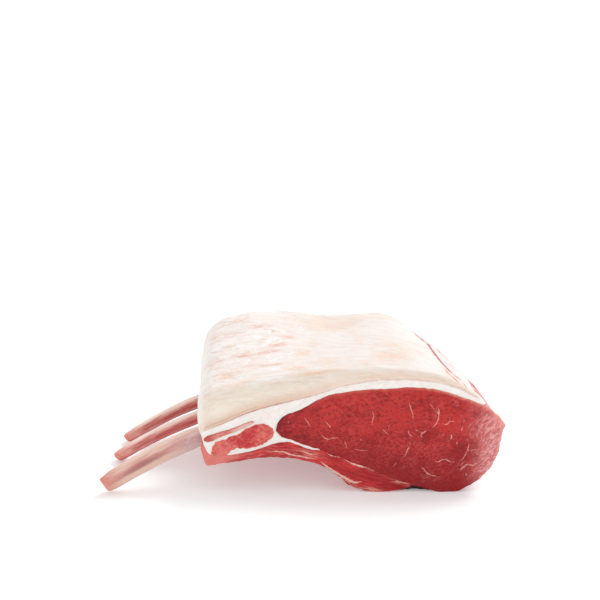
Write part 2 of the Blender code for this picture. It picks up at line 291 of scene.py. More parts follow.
def carve(node, name, grain, smoothing, cell=None):
    """The node's solid with smooth sides of even faces and, where a cell size is given, crisp cuts."""
    shape = solid_of(node)
    if cell:
        for cut, spare in ((FRONT_CUT, -CUT_SPARE), (BACK_CUT, CUT_SPARE)):
            flat = [face for face in shape.faces if all(abs(vert.co.y - cut) < ON_CUT for vert in face.verts)]
            longer = bmesh.ops.extrude_face_region(shape, geom=flat)
            ends = [item for item in longer["geom"] if isinstance(item, bmesh.types.BMVert)]
            bmesh.ops.translate(shape, vec=(0.0, spare, 0.0), verts=ends)
    rough = bpy.data.meshes.new(name)
    shape.to_mesh(rough)
    shape.free()
    piece = bpy.data.objects.new(name, rough)
    scene.collection.objects.link(piece)
    even = piece.modifiers.new("even faces", "REMESH")
    even.mode = "VOXEL"
    even.voxel_size = grain
    fine = bpy.data.meshes.new_from_object(piece.evaluated_get(bpy.context.evaluated_depsgraph_get()))
    piece.modifiers.clear()
    shape = bmesh.new()
    shape.from_mesh(fine)
    for _ in range(smoothing):
        bmesh.ops.smooth_vert(
            shape, verts=shape.verts, factor=0.5, use_axis_x=True, use_axis_y=True, use_axis_z=True
        )
    if cell:
        cut_across(shape, FRONT_CUT, -1.0, cell)
        cut_across(shape, BACK_CUT, 1.0, cell)
        bmesh.ops.recalc_face_normals(shape, faces=shape.faces)
    bmesh.ops.scale(shape, vec=Vector((MM, MM, MM)), verts=shape.verts)
    shape.to_mesh(fine)
    shape.free()
    piece.data = fine
    piece.data.name = name
    return piece


def surface_of(piece):
    """The mesh's points, in millimetres, and the way that the surface faces at each."""
    points = np.empty((len(piece.data.vertices), 3))
    normals = np.empty_like(points)
    piece.data.vertices.foreach_get("co", points.ravel())
    piece.data.vertex_normals.foreach_get("vector", normals.ravel())
    return points / MM, normals


def depth_of(points):
    """How far each point is from the nearer cut."""
    return np.minimum(points[:, 1] - FRONT_CUT, BACK_CUT - points[:, 1])


def outward_of(normals, on_cut, nearest_rim):
    """The way out of the rack, square to its length. On a cut it is that of the nearest rim point."""
    sideways = normals * np.array((1.0, 0.0, 1.0))
    sideways /= np.maximum(np.linalg.norm(sideways, axis=1), 0.001)[:, None]
    return np.where(on_cut[:, None] > 0.5, sideways[nearest_rim], sideways)


def rough_outline(points, normals, on_cut, nearest_rim, from_rim, size, amount):
    """Makes the outline of the cuts uneven, and the sides behind it, in bumps of that size and height."""
    on_cut_share = on_cut * step(from_rim, 2.5 * size, 0.0)
    on_side_share = (1.0 - on_cut) * step(depth_of(points), 6.0 * size, 0.0)
    push = (on_cut_share + on_side_share) * amount * lumps(points[nearest_rim], size, 11.0)
    points += outward_of(normals, on_cut, nearest_rim) * push[:, None]


def move(piece, points):
    """Puts the mesh's points there, none of them outside the rack's own box."""
    inside = np.clip(points, BOX_LOW, BOX_HIGH)
    piece.data.vertices.foreach_set("co", (inside * MM).ravel())
    piece.data.update()
    piece.data.shade_smooth()
    piece.data.set_sharp_from_angle(angle=CUT_SHARP)


def cut_of(piece, points):
    """Which points are on a cut, the way along Y into the meat, and the nearest rim point and its gap."""
    on_cut = abs(depth_of(points)) < ON_CUT
    inward = np.where(points[:, 1] < 0.0, 1.0, -1.0)
    ends = np.empty(2 * len(piece.data.edges), dtype=int)
    piece.data.edges.foreach_get("vertices", ends)
    ends = ends.reshape(-1, 2)
    crossing = ends[on_cut[ends[:, 0]] != on_cut[ends[:, 1]]]
    rim = np.unique(crossing[on_cut[crossing]])
    tree = kdtree.KDTree(len(rim))
    for k in rim.tolist():
        tree.insert(points[k], k)
    tree.balance()
    found = [tree.find(place) for place in points.tolist()]
    nearest_rim = np.array([index for _, index, _ in found])
    from_rim = np.array([gap for _, _, gap in found])
    return on_cut.astype(float), inward, nearest_rim, from_rim


def paint(piece, **layers):
    """Keeps a value, or a vector, for every point of the mesh, which the material reads by its name."""
    for name, values in layers.items():
        kind, field = ("FLOAT_VECTOR", "vector") if values.ndim == 2 else ("FLOAT", "value")
        layer = piece.data.attributes.new(name, kind, "POINT")
        layer.data.foreach_set(field, values.ravel())


def nearest_line(flat, lines):
    """The way from each place on a plane to the nearest of the lines, and how thick that line is there."""
    way = np.full((len(flat), 3), FAR_OFF)
    thick = np.zeros(len(flat))
    reach = np.full(len(flat), np.inf)
    for thickness, *corners in lines:
        spans = len(corners) - 1
        for k in range(spans):
            start = np.array(corners[k])
            along = np.array(corners[k + 1]) - start
            share = np.clip((flat - start) @ along / (along @ along), 0.0, 1.0)
            offset = start + share[:, None] * along - flat
            distance = np.hypot(offset[:, 0], offset[:, 1])
            closer = distance < reach
            reach[closer] = distance[closer]
            way[closer, 1] = 0.0
            way[closer, ::2] = offset[closer]
            run = (k + share[closer]) / spans
            from_end = step(np.minimum(run, 1.0 - run), 0.0, LINE_TAPER)
            thick[closer] = thickness * (LINE_END + (1.0 - LINE_END) * from_end)
    return way, thick


def wandering_lines(draw, count, span, thickness, reach):
    """Short crooked lines that start anywhere in the span of X and Z, some of them with a branch."""
    lines = []
    for _ in range(count):
        x = draw.uniform(*span[0])
        z = draw.uniform(*span[1])
        heading = draw.uniform(0.0, 2.0 * math.pi)
        corners = [(x, z)]
        for _ in range(draw.randint(2, 4)):
            heading += draw.uniform(-0.9, 0.9)
            pace = draw.uniform(0.4, 1.0) * reach
            x += pace * math.cos(heading)
            z += pace * math.sin(heading)
            corners.append((x, z))
        thick = draw.uniform(0.6, 1.0) * thickness
        lines.append((thick, *corners))
        if draw.random() < BRANCH_CHANCE:
            x, z = corners[1]
            turn = heading + draw.choice((-1.2, 1.2))
            tip = (x + 0.8 * reach * math.cos(turn), z + 0.8 * reach * math.sin(turn))
            lines.append((0.7 * thick, corners[1], tip))
    return lines


def paint_cut(piece, points, front_lines, back_lines, fade):
    """Marks the cuts, fading over those two depths behind them, and lays the lines of fat on them."""
    flat = points[:, (0, 2)]
    way, thick = nearest_line(flat, front_lines)
    back_way, back_thick = nearest_line(flat, back_lines)
    behind = points[:, 1] > (FRONT_CUT + BACK_CUT) / 2.0
    way[behind] = back_way[behind]
    thick[behind] = back_thick[behind]
    paint(piece, cut=1.0 - step(depth_of(points), *fade), strand_way=way, strand_width=thick)


class Value:
    """What a node puts out. An expression on values adds its Math nodes to their material."""

    def __init__(self, finish, socket):
        self.finish = finish
        self.socket = socket

    def other(self, output):
        """Another output of the same node."""
        return Value(self.finish, self.socket.node.outputs[output])

    def __add__(self, other):
        return self.finish.math("ADD", self, other)

    def __sub__(self, other):
        return self.finish.math("SUBTRACT", self, other)

    def __rsub__(self, other):
        return self.finish.math("SUBTRACT", other, self)

    def __mul__(self, other):
        return self.finish.math("MULTIPLY", self, other)

    def __truediv__(self, other):
        return self.finish.math("DIVIDE", self, other)

    def __abs__(self):
        return self.finish.math("ABSOLUTE", self)

    __radd__ = __add__
    __rmul__ = __mul__


class Finish:
    """A soft, moist material. node() adds any node, and the other methods are the few that meat needs."""

    def __init__(self, name, subsurface, redness):
        self.material = bpy.data.materials.new(name)
        self.material.use_nodes = True
        self.tree = self.material.node_tree
        self.shader = self.tree.nodes["Principled BSDF"]
        self.shader.inputs["Subsurface Weight"].default_value = subsurface
        self.shader.inputs["Subsurface Radius"].default_value = (1.0, redness, 0.8 * redness)
        self.shader.inputs["Subsurface Scale"].default_value = LIGHT_REACH
        self.shader.inputs["Specular IOR Level"].default_value = MOIST_SHINE
        self.colour = (1.0, 1.0, 1.0, 1.0)
        self.place = self.node(
            "VectorMath",
            {"operation": "SCALE"},
            {0: self.node("TexCoord").other("Object"), "Scale": 1.0 / MM},
        )

    def connect(self, socket, value):
        if isinstance(value, Value):
            self.tree.links.new(value.socket, socket)
        else:
            socket.default_value = value

    def node(self, kind, settings=None, inputs=None):
        made = self.tree.nodes.new("ShaderNode" + kind)
        for name, setting in (settings or {}).items():
            setattr(made, name, setting)
        for name, value in (inputs or {}).items():
            self.connect(made.inputs[name], value)
        return Value(self, made.outputs[0])

    def math(self, operation, first, second=0.0):
        return self.node("Math", {"operation": operation}, {0: first, 1: second})

    def axis(self, vector, name):
        return self.node("SeparateXYZ", None, {0: vector}).other(name)

    def painted(self, name, output="Fac"):
        return self.node("Attribute", {"attribute_name": name}).other(output)

    def clouds(self, size, detail=2.0, roughness=0.5, warp=0.0, vector=None):
        """Noise from 0 to 1, in lumps of that size along each axis of the place, or of another vector."""
        return self.node(
            "TexNoise",
            None,
            {
                "Vector": self.node("VectorMath", {"operation": "DIVIDE"}, {0: vector or self.place, 1: size}),
                "Scale": 1.0,
                "Detail": detail,
                "Roughness": roughness,
                "Distortion": warp,
            },
        )

    def shifted(self, vector, size, amount):
        """The vector pushed about by noise, by up to the amount."""
        drift = self.clouds(size).other("Color")
        drift = self.node("VectorMath", {"operation": "SUBTRACT"}, {0: drift, 1: (0.5, 0.5, 0.5)})
        drift = self.node("VectorMath", {"operation": "SCALE"}, {0: drift, "Scale": 2.0 * amount})
        return self.node("VectorMath", {"operation": "ADD"}, {0: vector, 1: drift})

    def step(self, value, low, high):
        return self.node(
            "MapRange",
            {"interpolation_type": "SMOOTHSTEP"},
            {"Value": value, "From Min": low, "From Max": high},
        )

    def thread(self, value, width):
        """1 where noise is halfway, fading to 0 at the width on either side: thin winding lines."""
        return self.step(abs(value - 0.5), width, 0.0)

    def lines(self, name, wobble):
        """1 on the painted lines of that name, with edges that waver."""
        way = self.shifted(self.painted(name + "_way", "Vector"), (0.8, 0.8, 0.8), wobble)
        away = self.node("VectorMath", {"operation": "LENGTH"}, {0: way}).other("Value")
        width = self.painted(name + "_width") * (0.3 + self.clouds((1.3, 1.3, 1.3)) * 1.2)
        return self.step(away / (width + 0.001), 0.8, 0.15)

    def mix(self, share, first, second):
        return self.node("Mix", {"data_type": "RGBA"}, {0: share, 6: first, 7: second}).other(2)

    def lay(self, share, colour):
        """Lays a colour over the material's colour so far, as strongly as the share says."""
        self.colour = self.mix(share, self.colour, colour)

    def bump(self, height, depth):
        """Raises the surface by up to the depth, in millimetres, where the height is 1."""
        return self.node("Bump", None, {"Height": height, "Distance": depth * MM, "Strength": 1.0})

    def finish(self, piece, **varying):
        self.connect(self.shader.inputs["Base Color"], self.colour)
        for name, value in varying.items():
            self.connect(self.shader.inputs[name], value)
        piece.data.materials.clear()
        piece.data.materials.append(self.material)


def sag_of(points):
    """How far each point of the soft meat sinks behind the notch."""
    low = step(points[:, 2], SAG_HEIGHTS[1], SAG_HEIGHTS[0])
    inside = step(points[:, 0], *SAG_LEFT) * step(points[:, 0], *SAG_RIGHT)
    return SAG * low * inside * step(depth_of(points), *SAG_DEPTHS)


def screen(*levels):
    """A colour given as a screen shows it, from 0 to 255, the way that a shader takes it."""
    shares = [level / 255.0 for level in levels]
    return (*(s / 12.92 if s <= 0.04045 else ((s + 0.055) / 1.055) ** 2.4 for s in shares), 1.0)


draw = random.Random(7)
loin = carve("loin_eye", "eye_of_loin", grain=0.5, smoothing=4, cell=0.4)
points, normals = surface_of(loin)
x, y, z = points.T
on_cut, inward, nearest_rim, from_rim = cut_of(loin, points)
bulge = EYE_BULGE * step(from_rim, 0.0, EYE_BULGE_REACH) + 0.1 * lumps(points, 7.0, 3.1)
grit = 0.03 * lumps(points, 1.1, 6.0)
y -= on_cut * step(from_rim, 0.0, 1.0) * inward * (bulge + grit)
rough_outline(points, normals, on_cut, nearest_rim, from_rim, size=1.8, amount=0.3)
swell = 0.22 * lumps(points, (5.0, 22.0, 5.0)) + 0.1 * lumps(points, (1.3, 9.0, 1.3), 5.0)
bare = step(x, 34.0, 44.0) * step(from_rim, 0.0, 1.5)
points += normals * ((1.0 - on_cut) * swell * bare)[:, None]
sunk = sag_of(points)
z -= sunk
move(loin, points)
front_veins = [(VEIN_GIRTH * thickness, *corners) for thickness, *corners in EYE_VEINS]
back_veins = wandering_lines(draw, BACK_VEIN_COUNT, BACK_VEIN_SPAN, BACK_VEIN_THICKNESS, BACK_VEIN_REACH)
paint_cut(loin, points, front_veins, back_veins, fade=(4.5, 9.0))
bend = np.hypot(x - WAVE_CENTRE[0], z - WAVE_CENTRE[1])
turn = np.arctan2(x - WAVE_CENTRE[0], z - WAVE_CENTRE[1])
uphill = 0.7 * (x + z)
downhill = 0.7 * (z - x)
paint(
    loin,
    sunk=sunk / SAG,
    grain=np.stack([turn * WAVE_LENGTH_SCALE, y, bend], axis=1),
    squiggle=np.stack([uphill, y, downhill], axis=1),
    from_rim=from_rim,
)

EYE_DEEP = screen(144, 24, 28)
EYE_RED = screen(172, 36, 38)
EYE_TOP_LIGHT = screen(196, 48, 46)
EYE_PINK = screen(232, 148, 146)
EYE_BOTTOM_SHADE = screen(142, 22, 28)
EYE_TIP = screen(112, 20, 30)
BUNDLE_SEAM = screen(214, 92, 86)
FAN_PINK = screen(212, 84, 74)
VEIN_FAT = screen(238, 172, 160)
SQUIGGLE_FAT = screen(244, 190, 188)
RIM_TAN = screen(226, 168, 148)
RIM_PINK = screen(220, 112, 98)
SILVER_SKIN = screen(228, 176, 172)
NOTCH_PAINTED_SHADE = screen(46, 8, 10)  # painted shade on the meat deep in the notch

meat = Finish("eye meat", subsurface=0.1, redness=0.2)
cut = meat.painted("cut")
grain = meat.painted("grain", "Vector")
x = meat.axis(meat.place, "X")
z = meat.axis(meat.place, "Z")
waves = meat.clouds((2.6, 1.4, 0.95), 3.0, 0.55, 0.9, vector=grain)
granules = meat.clouds((1.1, 4.0, 0.9))
patches = meat.clouds((9.0, 20.0, 7.0))
tone = waves * 0.8 + granules * 0.7 + patches * 0.5
meat.colour = meat.mix(meat.step(tone, 0.78, 1.2), EYE_DEEP, EYE_RED)
bundles = meat.node(
    "TexVoronoi",
    {"feature": "DISTANCE_TO_EDGE"},
    {
        "Vector": meat.shifted(
            meat.node("VectorMath", {"operation": "DIVIDE"}, {0: meat.place, 1: (1.5, 14.0, 1.2)}),
            (0.8, 2.0, 0.8),
            0.35,
        ),
        "Scale": 1.0,
    },
).other("Distance")
between = meat.step(bundles, 0.12, 0.02) * meat.step(patches + granules * 0.4, 0.45, 0.8)
meat.lay(between * (0.15 + granules * 0.6) * cut, BUNDLE_SEAM)
# Painted light and shade: the upper part of the cut is painted brighter and the lower part darker, as the
# light from above falls on it.
high = meat.step(z + x * 0.1 + patches * 9.0, 17.0, 34.0)
meat.lay(high * meat.step(tone, 0.75, 1.2) * 0.8, EYE_TOP_LIGHT)
low = meat.step(z + x * 0.12 + patches * 8.0, 27.0, 9.0)
meat.lay(low * 0.8, EYE_BOTTOM_SHADE)
squiggle_place = meat.painted("squiggle", "Vector")
fan = meat.clouds((1.1, 9.0, 3.2), 3.0, 0.55, 0.4, vector=squiggle_place)
upper_left = meat.step(z - abs(x - 15.0) * 0.3, 20.0, 30.0) * meat.step(x, 36.0, 24.0)
meat.lay(upper_left * meat.step(fan, 0.42, 0.7) * 0.35, FAN_PINK)
tip = meat.step(x + patches * 8.0, 11.0, -1.0)
meat.lay(tip * meat.step(waves, 0.62, 0.4) * 0.5, EYE_TIP)
right = meat.step(x + patches * 8.0, 53.0, 67.0)
meat.lay(right * (0.3 + granules * 0.5), EYE_PINK)
squiggles = meat.thread(meat.clouds((3.4, 3.0, 1.1), 1.0, 0.5, 0.6, vector=squiggle_place), 0.055)
sparse = meat.step(meat.clouds((3.6, 9.0, 3.6)) + right * 0.25, 0.5, 0.62)
chine_half = meat.step(x - z * 0.3, 22.0, 44.0)
squiggles = squiggles * sparse * (0.02 + chine_half * 0.12 + right * 0.6) * cut
meat.lay(squiggles, SQUIGGLE_FAT)
hatching = meat.thread(meat.clouds((4.5, 3.0, 0.75), 1.0, 0.5, 0.3, vector=squiggle_place), 0.09)
chine_end = meat.step(x + patches * 3.0, 55.0, 60.0)
meat.lay(hatching * chine_end * cut * 0.4, SQUIGGLE_FAT)
veins = meat.lines("strand", 0.3) * cut
meat.lay(veins * (0.25 + granules * 0.85), VEIN_FAT)
from_rim = meat.painted("from_rim")
# Painted shade: a dark line along the upper left rim of the cut, where it meets the fat.
upper_left_rim_shade = meat.step(from_rim + granules * 0.6, 1.4, 0.3) * meat.step(x - z * 0.4, 2.0, -8.0)
upper_left_rim_shade = upper_left_rim_shade * meat.step(z, 19.5, 22.0)
meat.lay(upper_left_rim_shade * 0.7, EYE_TIP)
chine_rim = meat.step(from_rim + granules, 1.4, 0.5) * meat.step(z + x * 0.8, 60.0, 70.0)
meat.lay(chine_rim * cut * 0.7, RIM_TAN)
top_rim = meat.step(from_rim + granules * 1.6, 2.2, 0.7) * meat.step(z + x * 0.1, 27.0, 31.0)
meat.lay(top_rim * cut * 0.4, RIM_PINK)
skin_streaks = meat.clouds((0.7, 16.0, 0.7), 3.0, 0.6)
skin = meat.step(skin_streaks + patches * 0.6, 0.6, 1.0)
meat.lay((1.0 - cut) * skin * 0.8, SILVER_SKIN)
# Painted shade: the meat that sinks into the notch is painted almost black.
meat.lay(meat.step(meat.painted("sunk"), 0.05, 0.5), NOTCH_PAINTED_SHADE)
meat.finish(
    loin,
    Roughness=0.42 + granules * 0.2,
    Normal=meat.bump(waves * 0.5 + granules * 0.6 - veins * 0.3, 0.1),
)
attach(loin, "root")
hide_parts("loin_eye")


# ---- The side muscle and the cap strip ----
# Two small muscles that the cut passes through beside the loin: a coarse-grained one between fat and ribs,
# and above it a strip no thicker than a coin, both wrapped in fat.

# For each: its name, the size of its faces, how uneven its outline is, and its dark and pale meat.
SMALL_MUSCLES = {
    "side_muscle": ("side_muscle_meat", 0.32, 0.4, screen(198, 56, 60), screen(236, 128, 118)),
    "cap_strip": ("cap_strip_meat", 0.25, 0.15, screen(206, 96, 92), screen(232, 150, 138)),
}
SMALL_MUSCLE_MIDDLE = -17.5  # X of their darker middle
MUSCLE_RIM = screen(226, 128, 112)
STRIP_TOP_EDGE = screen(196, 84, 78)
STRIP_THIN_END = screen(244, 206, 196)
STRIP_LEFT_END = screen(192, 68, 66)

side_draw = random.Random(21)
for node, (name, grain, unevenness, dark, pale) in SMALL_MUSCLES.items():
    muscle = carve(node, name, grain, smoothing=2, cell=0.3)
    points, normals = surface_of(muscle)
    x, y, z = points.T
    on_cut, inward, nearest_rim, from_rim = cut_of(muscle, points)
    grit = 0.12 * lumps(points, 1.1) + 0.06 * lumps(points, 0.5, 4.0)
    y -= on_cut * step(from_rim, 0.0, 0.8) * inward * (0.12 + grit)
    rough_outline(points, normals, on_cut, nearest_rim, from_rim, size=0.9, amount=unevenness)
    move(muscle, points)
    low_corner, high_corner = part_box(node)
    span = ((low_corner.x / MM, high_corner.x / MM), (low_corner.z / MM, high_corner.z / MM))
    specks = wandering_lines(side_draw, count=22, span=span, thickness=0.3, reach=0.6)
    paint_cut(muscle, points, specks, specks, fade=(1.0, 3.0))
    paint(muscle, from_rim=from_rim)
    meat = Finish(name, subsurface=0.15, redness=0.25)
    coarse = meat.clouds((1.0, 3.0, 0.8), 4.0, 0.7, 0.6)
    patches = meat.clouds((4.0, 9.0, 3.0))
    x = meat.axis(meat.place, "X")
    middle = meat.step(abs(x - SMALL_MUSCLE_MIDDLE), 7.0, 1.0)
    tone = coarse + patches * 0.7 + middle * 0.2
    meat.colour = meat.mix(meat.step(tone, 0.65, 1.15), pale, dark)
    meat.lay(meat.lines("strand", 0.25) * 0.55, VEIN_FAT)
    rim = meat.step(meat.painted("from_rim") + coarse * 0.5, 0.75, 0.3)
    if node == "cap_strip":
        z = meat.axis(meat.place, "Z")
        thin_end = meat.step(x + coarse * 4.0, -22.0, -17.0)
        meat.lay(thin_end * 0.75, STRIP_THIN_END)
        upper_edge = rim * meat.step(z - x * 0.42, 29.4, 30.0)
        meat.lay(upper_edge * 0.8, STRIP_TOP_EDGE)
        meat.lay(meat.step(x + coarse * 3.0, -24.5, -28.0) * 0.7, STRIP_LEFT_END)
    else:
        meat.lay(rim * 0.45, MUSCLE_RIM)
    meat.finish(muscle, Roughness=0.4 + coarse * 0.2, Normal=meat.bump(coarse, 0.3))
    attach(muscle, "root")
    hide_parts(node)


# ---- The rib meat ----
# The flap of thin muscles round and between the ribs. Its fibres run out from the loin, with strands of fat
# between them, and a shiny membrane covers the hollow side that faced the chest.

RIB_MEAT_STRANDS = (
    (
        0.5,
        *((-10.6, 13.6), (-8.1, 13.8), (-5.7, 13.6), (-4.3, 13.0), (-2.6, 12.4), (-0.9, 12.2)),
        *((0.8, 11.8), (2.9, 11.3), (5.0, 11.1)),
    ),
    (
        0.9,
        *((6.0, 10.2), (7.5, 9.0), (8.2, 8.3), (9.2, 7.6), (10.1, 7.0), (11.5, 6.0), (12.6, 5.4)),
        *((13.6, 4.8), (15.3, 3.7), (16.5, 3.2), (17.9, 3.3), (18.9, 3.5)),
    ),
    (0.4, (12.0, 4.4), (13.6, 2.7), (15.1, 1.7), (16.5, 1.3), (18.2, 1.0), (19.9, 0.7)),
    (
        0.42,
        *((7.0, 14.2), (8.0, 13.2), (9.0, 12.5), (10.4, 12.1), (11.6, 12.0), (12.6, 11.8), (13.3, 11.3)),
        *((14.3, 10.5), (15.5, 9.9), (17.0, 9.5)),
    ),
    (1.05, (15.2, 9.9), (16.6, 9.5), (17.7, 9.2), (18.9, 8.9), (20.6, 8.3)),
)
# Patches of fat between its muscles: the X and Z of each, its reach both ways, its lean and its strength.
RIB_MEAT_FAT = (
    (2.2, 13.0, 3.4, 0.8, -10.0, 0.9),
    (22.5, 7.6, 3.0, 0.6, -24.0, 0.6),
    (21.5, 1.0, 3.6, 0.5, -8.0, 0.8),
    (31.0, 3.2, 3.2, 0.5, -14.0, 0.6),
)
# The (X, Z) line along its middle, which the fibres follow.
RIB_MEAT_LINE = (
    *((-31.0, 10.0), (-20.0, 11.0), (-10.0, 12.9), (0.0, 12.2), (8.0, 9.4), (16.0, 5.6), (24.0, 3.2)),
    (34.0, 2.4),
)


def patch_cover(across, patches):
    """How strongly the soft-edged patches cover each place on a plane, from 0 to 1."""
    cover = np.zeros(len(across))
    for right, up, long, short, lean, strength in patches:
        turned = math.radians(lean)
        dx = across[:, 0] - right
        dy = across[:, 1] - up
        lengthwise = (dx * math.cos(turned) + dy * math.sin(turned)) / long
        sideways = (dy * math.cos(turned) - dx * math.sin(turned)) / short
        cover = np.maximum(cover, strength * np.exp(-(lengthwise**2) - sideways**2))
    return cover


flap = carve("rib_meat", "rib_meat_flap", grain=0.4, smoothing=4, cell=0.35)
points, normals = surface_of(flap)
x, y, z = points.T
on_cut, inward, nearest_rim, from_rim = cut_of(flap, points)
line_x, line_z = np.array(RIB_MEAT_LINE).T
height = z - np.interp(x, line_x, line_z)
ribbed = np.stack([x / 6.0, y / 6.0, height / 0.9], axis=1)
folds = lumps(ribbed, 1.0, 2.0)
y += on_cut * inward * 0.14 * step(from_rim, 0.0, 1.2) * folds
rough_outline(points, normals, on_cut, nearest_rim, from_rim, size=1.5, amount=0.22)
below = step(-normals[:, 2], 0.1, 0.5) * step(z, 0.2, 1.5) * step(from_rim, 0.3, 2.5)
fold = 0.35 * lumps(points, (4.0, 9.0, 4.0)) + 0.16 * lumps(points, (6.0, 1.2, 2.0), 4.0)
points += normals * (below * (fold - 0.1) * (1.0 - on_cut))[:, None]
sunk = sag_of(points)
z -= sunk
move(flap, points)
paint_cut(flap, points, RIB_MEAT_STRANDS, RIB_MEAT_STRANDS, fade=(0.8, 2.2))
paint(
    flap,
    sunk=sunk / SAG,
    grain=np.stack([x, y, height], axis=1),
    fatty=patch_cover(points[:, (0, 2)], RIB_MEAT_FAT) * step(depth_of(points), 1.0, 0.2),
)

FLAP_DARK = screen(164, 24, 32)
FLAP_RED = screen(206, 54, 56)
FLAP_PINK = screen(222, 104, 94)
FLAP_END = screen(230, 132, 122)
FLAP_BAND = screen(156, 34, 44)
FLAP_SHADE = screen(146, 16, 24)
FLAP_FAT = screen(238, 186, 164)
STRAND_FAT = screen(246, 206, 190)
MEMBRANE = screen(230, 188, 184)

meat = Finish("rib meat", subsurface=0.12, redness=0.22)
cut = meat.painted("cut")
grain = meat.painted("grain", "Vector")
x = meat.axis(meat.place, "X")
height = meat.axis(grain, "Z")
streaks = meat.clouds((4.5, 5.0, 0.55), 3.0, 0.6, 0.5, vector=grain)
patches = meat.clouds((7.0, 9.0, 4.0))
tone = streaks + patches * 0.7
meat.colour = meat.mix(meat.step(tone, 0.62, 1.05), FLAP_DARK, FLAP_RED)
middle_share = meat.step(x + patches * 8.0, 14.0, -2.0)
meat.lay(middle_share * meat.step(streaks, 0.35, 0.65) * 0.5, FLAP_PINK)
left_end = meat.step(x + patches * 5.0 - height * 1.5, -14.0, -24.0)
meat.lay(left_end * 0.9, FLAP_END)
lower_band = meat.step(abs(height + 0.9), 1.1, 0.3) * (0.3 + patches)
lower_band = lower_band * meat.step(x, -26.0, -20.0) * meat.step(x, 3.0, -6.0)
meat.lay(lower_band * 0.8, FLAP_BAND)
threads = meat.thread(meat.clouds((8.0, 7.0, 1.0), 2.0, 0.5, 0.4, vector=grain), 0.02)
meat.lay(threads * cut * (0.12 + middle_share * 0.25), VEIN_FAT)
deep = meat.step(x + patches * 8.0, 20.0, 34.0)
meat.lay(deep * meat.step(streaks, 0.7, 0.4) * 0.8, FLAP_SHADE)
fatty = meat.painted("fatty") * meat.step(streaks, 0.36, 0.56)
meat.lay(fatty, FLAP_FAT)
strands = meat.lines("strand", 0.3) * cut
meat.lay(strands * 0.85, STRAND_FAT)
skin_clouds = meat.clouds((6.0, 2.2, 4.0), 3.0, 0.6)
membrane = meat.step(skin_clouds, 0.36, 0.62) * (1.0 - cut)
meat.lay(membrane * 0.85, MEMBRANE)
# Painted shade: the meat that sinks into the notch is painted almost black.
meat.lay(meat.step(meat.painted("sunk"), 0.05, 0.5), NOTCH_PAINTED_SHADE)
meat.finish(
    flap,
    Roughness=0.38 + streaks * 0.2,
    Normal=meat.bump(streaks + strands * 0.4, 0.25),
)
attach(flap, "root")
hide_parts("rib_meat")


# ---- The fat cap ----
# The thick white fat over the outside of the rack, trimmed smooth, with a thin dry skin left on it. On the
# cuts a pink seam parts the firm outer layer from the softer white fat round the muscles.

# The seam on the cuts, and where it fades out above the loin: the thickness of each and its (X, Z) places.
FAT_SEAMS = (
    (
        0.42,
        *((-31.5, 20.0), (-28.0, 21.6), (-24.5, 23.0), (-21.2, 24.6), (-17.7, 26.2), (-14.5, 27.4)),
        *((-9.2, 29.0), (-3.6, 30.4), (2.5, 32.0), (5.6, 33.0), (10.3, 34.5), (13.0, 35.5)),
    ),
    (
        0.7,
        *((10.3, 34.7), (16.4, 36.3), (24.1, 37.4), (33.4, 37.6), (42.7, 36.6), (49.5, 34.5), (54.0, 31.5)),
    ),
)
# The bloody cut edge on the chine side, and the nicks beside it: (X, Y) places on the outside.
CHINE_EDGE = (
    1.15,
    *((51.4, -27.9), (50.3, -25.6), (49.4, -22.4), (48.0, -19.8), (46.6, -17.5), (45.5, -15.1)),
    *((44.5, -12.8), (43.5, -9.1), (42.6, -4.0), (42.2, 3.6), (41.6, 9.6), (40.5, 12.2), (39.3, 14.8)),
    *((38.2, 17.8), (37.1, 22.0), (36.0, 32.1)),
)
CHINE_NICKS = (
    (0.7, (43.5, 12.6), (44.6, 9.2), (45.5, 4.0), (47.9, 0.9), (49.5, 0.6), (51.1, -0.3), (52.2, -2.5)),
    (0.6, (52.2, -2.5), (53.5, -6.8), (54.1, -10.1)),
    (0.8, (44.5, -16.6), (45.4, -20.6), (46.4, -23.7), (47.5, -25.5), (48.6, -27.1)),
)
# Creases and torn ridges on the outside, near the rib side; the creases are painted pink as shade, and the
# ridges white as a highlight.
CREASES = (
    (1.2, (-27.6, 26.7), (-24.8, 24.7), (-22.8, 24.0), (-20.8, 24.6)),
    (1.6, (-23.7, 30.6), (-21.0, 30.3), (-17.5, 30.0)),
    (1.2, (-31.0, 16.2), (-28.8, 14.5), (-27.5, 15.2)),
    (1.0, (-29.9, 10.7), (-27.9, 10.3), (-26.2, 9.2)),
    (1.0, (-26.1, 13.4), (-23.7, 13.0), (-21.0, 12.4), (-19.4, 11.7), (-18.1, 12.7)),
    (1.1, (-25.9, 3.0), (-24.0, 2.0), (-22.7, 2.2)),
    (1.2, (-20.4, -5.7), (-18.9, -5.0), (-17.3, -4.2), (-15.6, -4.8)),
    (1.0, (-16.6, -6.9), (-14.6, -6.2), (-12.7, -6.6), (-10.8, -5.5)),
    (0.9, (-30.3, 4.7), (-27.9, 1.6), (-25.2, 0.1)),
    (1.0, (-24.4, -4.3), (-22.1, -4.7), (-19.8, -6.9), (-17.8, -7.1)),
    (0.9, (-30.5, -4.6), (-28.8, -6.8), (-27.2, -5.7), (-25.2, -7.0)),
    (0.9, (-16.4, 13.3), (-14.8, 14.0), (-13.1, 14.6)),
    (1.1, (-14.2, 2.6), (-12.9, 3.5), (-11.3, 3.4)),
    (0.9, (-25.1, -17.6), (-23.5, -17.1), (-22.2, -19.1), (-21.0, -18.3)),
    (0.9, (-28.3, -16.1), (-26.4, -15.8), (-24.9, -15.8)),
    (0.8, (-15.0, -17.9), (-12.5, -16.4), (-10.0, -16.5), (-6.8, -16.9)),
    (1.1, (-9.6, -3.0), (-8.0, -1.4), (-6.0, -0.1), (-4.8, -0.7)),
    (0.9, (-10.1, 7.6), (-9.4, 9.5), (-9.8, 11.3)),
)
